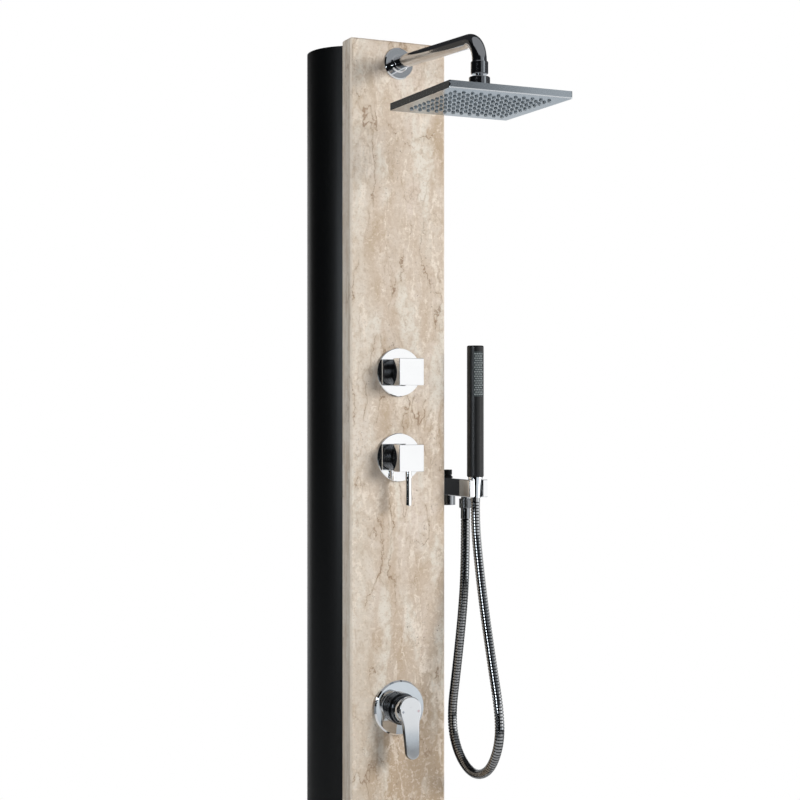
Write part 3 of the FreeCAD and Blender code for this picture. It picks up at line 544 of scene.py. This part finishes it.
def dressNodes():
    for name, members in nodeFinish.items():
        for node in members:
            for holder in nodes[node].material_slots:
                holder.material = finishes[name]


dressNodes()
print("finishes:", len(finishes))


# Hose, one line in two stretches that meet at the bottom of its loop

hoseSet = {
    # behind the panel's face, below the bar
    "route": [(0.002, 0.104), (0.009, 0.179), (0.031, 0.282), (0.056, 0.381), (0.030, 0.435),
              (-0.024, 0.461), (-0.082, 0.445), (-0.117, 0.396), (-0.118, 0.344), (-0.092, 0.268),
              (-0.062, 0.172), (-0.042, 0.090), (-0.034, 0.042)],
    "split": (0.003, 0.448),  # where the two stretches meet
    "radius": 0.0077,
    "root": 0.0059,
    "pitch": 0.005,
    "plain": 0.001,  # smooth at its outer ends
    "sides": 24,
    "steps": 24,
    "level": 0.004,  # how far each way its direction is levelled out
    "profile": [(0.00, 0.0), (0.10, 0.0), (0.17, 0.7), (0.24, 1.0), (0.27, 1.0), (0.89, 1.0),
                (0.92, 1.0), (0.97, 0.7)],  # share of a rib's pitch, share of its height
}


def hosePoints():
    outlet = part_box("hose_ferrule")
    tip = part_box("hose_end")
    x = (outlet[0].x + outlet[1].x) / 2
    start = Vector((x, (outlet[0].y + outlet[1].y) / 2, outlet[0].z))
    end = Vector((x, (tip[0].y + tip[1].y) / 2, tip[0].z))
    inner = [Vector((x, faceY + back, barLow - drop)) for back, drop in hoseSet["route"]]
    return [start] + inner + [end]


def hoseLine(points):  # places read off a smooth line that follows the route
    curve = bpy.data.curves.new("hose_line", "CURVE")
    curve.dimensions = "3D"
    curve.resolution_u = hoseSet["steps"]
    spline = curve.splines.new("NURBS")
    spline.points.add(len(points) - 1)
    for knot, point in zip(spline.points, points):
        knot.co = (*point, 1.0)
    spline.order_u = 3
    spline.use_endpoint_u = True
    holder = bpy.data.objects.new("hose_line", curve)
    bpy.context.scene.collection.objects.link(holder)
    bpy.context.view_layer.update()
    mesh = bpy.data.meshes.new_from_object(holder.evaluated_get(bpy.context.evaluated_depsgraph_get()))
    line = [vertex.co.copy() for vertex in mesh.vertices]
    bpy.data.meshes.remove(mesh)
    bpy.data.objects.remove(holder)
    bpy.data.curves.remove(curve)
    return line


def lengthOf(line):
    return sum((b - a).length for a, b in zip(line, line[1:]))


def spotOn(line, distance):
    for a, b in zip(line, line[1:]):
        run = (b - a).length
        if distance <= run:
            return a.lerp(b, max(distance, 0.0) / run)
        distance -= run
    return line[-1].copy()


def smoothWay(line, distance):
    reach = hoseSet["level"]
    return (spotOn(line, distance + reach) - spotOn(line, distance - reach)).normalized()


def hoseRings(length, start, end):  # distance and radius of each ring, between its plain ends
    root = hoseSet["root"]
    rise = hoseSet["radius"] - root
    ribs = round((length - start - end) / hoseSet["pitch"])
    pitch = (length - start - end) / ribs
    rings = [(0.0, root)] if start else []
    for rib in range(ribs):
        for share, height in hoseSet["profile"]:
            rings.append((start + pitch * (rib + share), root + rise * height))
    return rings + [(length, root)]


def ribbedTube(name, line, start, end):
    side = Vector((1, 0, 0))
    sides = hoseSet["sides"]
    spots = []
    faces = []
    shadedGrooves = []
    rings = hoseRings(lengthOf(line), start, end)
    for distance, radius in rings:
        centre = spotOn(line, distance)
        out = smoothWay(line, distance).cross(side).normalized()
        for step in range(sides):
            turn = 2 * math.pi * step / sides
            spots.append(centre + (side * math.cos(turn) + out * math.sin(turn)) * radius)
    for ring in range(len(rings) - 1):
        for step in range(sides):
            a = ring * sides + step
            b = ring * sides + (step + 1) % sides
            faces.append((a, b, b + sides, a + sides))
            # faces in the grooves take the painted shade
            shadedGrooves.append(int(min(rings[ring][1], rings[ring + 1][1]) < hoseSet["radius"]))
    faces.append(tuple(reversed(range(sides))))
    faces.append(tuple(range((len(rings) - 1) * sides, len(rings) * sides)))
    piece = meshPiece(name, spots, faces)
    for finish in ("hoseChrome", "hoseGrooveShade"):
        piece.data.materials.append(finishes[finish])
    piece.data.polygons.foreach_set("material_index", shadedGrooves + [1, 1])  # its two end faces take the painted groove shade too
    return piece


def meshPiece(name, spots, faces):
    mesh = bpy.data.meshes.new(name)
    mesh.from_pydata(spots, [], faces)
    mesh.validate()
    mesh.polygons.foreach_set("use_smooth", [True] * len(mesh.polygons))
    piece = bpy.data.objects.new(name, mesh)
    bpy.context.scene.collection.objects.link(piece)
    return piece


def addHose():
    points = hosePoints()
    line = hoseLine(points)
    back, drop = hoseSet["split"]
    middle = Vector((points[0].x, faceY + back, barLow - drop))
    cut = min(range(len(line)), key=lambda step: (line[step] - middle).length)
    rearLine = line[:cut + 1]
    frontLine = line[cut:]
    rear = ribbedTube("hose_rear_ribbed", rearLine, hoseSet["plain"], 0.0)
    front = ribbedTube("hose_front_ribbed", frontLine, 0.0, hoseSet["plain"])
    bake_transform(rear)
    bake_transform(front)
    lengthOf(rearLine)
    lengthOf(frontLine)
    for piece, node in ((rear, "hose_rear"), (front, "hose_front")):
        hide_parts(node)
    print("hose:", round(lengthOf(line), 3), "m along its line")


addHose()


# Studio

studioSet = {
    "floorHalf": 10.0,
    "floor": seen(232, 232, 232),
    "floorRough": 0.8,
    "whiteFrom": (1.2, 3.6),  # where the floor turns white, as the camera sees it
    "glow": seen(205, 212, 218),  # far floor, as shiny surfaces see it
    "glowFrom": (4.6, 6.6),
    "worldLight": 0.06,
    "left": -2.6,  # the boards stand round a room with a cut corner behind the camera
    "right": 5.5,
    "front": -5.4,
    "rear": 8.0,
    "top": 4.4,
    "cutX": -0.6,
    "cutY": -3.6,
    "dark": seen(16, 17, 19),
    "grey": seen(70, 72, 75),
}


def card(name, corners, colour, strength=1.0):  # a board that only shiny surfaces see
    board = meshPiece(name, [Vector(corner) for corner in corners], [(0, 1, 2, 3)])
    material = bpy.data.materials.new(name)
    material.use_nodes = True
    tree = material.node_tree
    tree.nodes.remove(tree.nodes["Principled BSDF"])
    glow = Wire(tree).node("ShaderNodeEmission", None, {"Color": colour, "Strength": strength})
    feed(tree.nodes["Material Output"].inputs["Surface"], glow)
    board.data.materials.append(material)
    board.visible_camera = False
    board.visible_diffuse = False
    board.visible_shadow = False
    board.visible_transmission = False


def wall(name, start, end, colour, low=0.0, top=studioSet["top"], strength=1.0):  # an upright card
    (x0, y0), (x1, y1) = start, end
    card(name, [(x0, y0, low), (x1, y1, low), (x1, y1, top), (x0, y0, top)], colour, strength)


def addLeftWalls():  # a window of light in a dark side
    left = studioSet["left"]
    dark = studioSet["dark"]
    near, far = (left, -2.35), (left, -1.5)  # the window's two sides
    sill, lintel = 1.38, 2.4
    end = (left, 3.2)
    ledge = 1.12
    wall("left_far", end, (left, studioSet["rear"]), seen(80, 78, 75))
    wall("left_rear", far, end, dark, low=ledge)
    wall("left_low", far, end, seen(120, 124, 128), top=ledge)
    wall("left_middle", near, far, dark, top=sill)
    wall("left_soft", near, far, seen(240, 248, 255), low=sill, top=lintel, strength=9.0)
    wall("left_high", near, far, dark, low=lintel)
    corner = (left, studioSet["cutY"])
    wall("left_front", corner, near, dark)
    wall("behind_camera", (studioSet["cutX"], studioSet["front"]), corner, dark)


def addOtherWalls():
    left, right, front, rear = (studioSet[side] for side in ("left", "right", "front", "rear"))
    grey = studioSet["grey"]
    corner = (studioSet["cutX"], front)
    post = (2.72, front)  # the front boards change here
    foot, beam = 2.55, 3.25
    wall("front_dark", post, corner, seen(104, 108, 112), low=foot, top=beam)
    wall("front_high", post, corner, seen(140, 144, 148), low=beam)
    wall("front_header", (right, front), post, seen(190, 197, 202), low=foot)
    wall("right_soft", (2.4, -3.3), (3.6, -1.9), plainWhite, low=0.4, top=2.4, strength=2.2)
    wall("right_low", (3.6, 0.8), (2.4, 3.2), studioSet["dark"], top=1.2)
    wall("right_header", (right, rear), (right, front), grey, low=2.8)
    wall("rear_header", (left, rear), (right, rear), grey, low=3.4)


def addCeiling():
    left, right, top = studioSet["left"], studioSet["right"], studioSet["top"]
    change = 0.5
    for name, near, far, colour in (
            ("ceiling_front", studioSet["front"], change, seen(150, 152, 155)),
            ("ceiling_rear", change, studioSet["rear"], seen(46, 47, 49))):
        card(name, [(left, near, top), (right, near, top), (right, far, top), (left, far, top)], colour)


def addFloor():
    half = studioSet["floorHalf"]
    corners = [(-half, -half), (half, -half), (half, half), (-half, half)]
    floor = meshPiece("floor", [Vector((x, y, 0)) for x, y in corners], [(0, 1, 2, 3)])
    material, sockets, place = startFinish("floor")
    tree = material.node_tree
    feed(sockets["Base Color"], studioSet["floor"])
    feed(sockets["Roughness"], studioSet["floorRough"])
    away = place.node("ShaderNodeVectorMath", {"operation": "LENGTH"}, {0: place}, "Value")
    camera = place.node("ShaderNodeLightPath", out="Is Camera Ray")
    glossy = place.node("ShaderNodeLightPath", out="Is Glossy Ray")
    fade = eased(away, *studioSet["whiteFrom"]) * camera + eased(away, *studioSet["glowFrom"]) * glossy
    colour = mixed(glossy, plainWhite, studioSet["glow"])
    bright = place.node("ShaderNodeEmission", None, {"Color": colour, "Strength": 1.0})
    plain = Wire(tree, tree.nodes["Principled BSDF"].outputs[0])
    blend = place.node("ShaderNodeMixShader", None, {0: fade, 1: plain, 2: bright})
    feed(tree.nodes["Material Output"].inputs["Surface"], blend)
    floor.data.materials.append(material)


def addWorld():
    world = bpy.data.worlds.new("studio")
    world.use_nodes = True
    bpy.context.scene.world = world
    tree = world.node_tree
    start = Wire(tree)
    camera = start.node("ShaderNodeLightPath", out="Is Camera Ray")
    glossy = start.node("ShaderNodeLightPath", out="Is Glossy Ray")
    through = start.node("ShaderNodeLightPath", out="Is Transmission Ray")
    shown = start.sum("MINIMUM", camera + glossy + through, 1.0)
    level = studioSet["worldLight"]
    feed(tree.nodes["Background"].inputs["Color"], plainWhite)
    feed(tree.nodes["Background"].inputs["Strength"], level + shown * (1 - level))


lampSet = {
    "key": {"place": (2.10, -3.24, 2.55), "size": (1.3, 1.3), "watts": 138},
    "side": {"place": (-2.9, -0.7, 2.4), "size": (0.8, 1.2), "watts": 50},
    "back": {"place": (1.6, 2.6, 2.6), "size": (1.6, 1.6), "watts": 45},
}
lampAim = 1.55  # height on the panel


def addLamps():
    aim = Vector((0, faceY, lampAim))
    for name, look in lampSet.items():
        light = bpy.data.lights.new(name, "AREA")
        light.shape = "RECTANGLE"
        light.size, light.size_y = look["size"]
        light.energy = look["watts"]
        lamp = bpy.data.objects.new(name, light)
        lamp.location = look["place"]
        lamp.rotation_euler = (aim - lamp.location).to_track_quat("-Z", "Y").to_euler()
        lamp.visible_glossy = False  # the boards and the world make the reflections
        bpy.context.scene.collection.objects.link(lamp)


addLeftWalls()
addOtherWalls()
addCeiling()
addFloor()
addWorld()
addLamps()
bpy.context.scene.view_settings.view_transform = "Standard"
print("studio: lit")
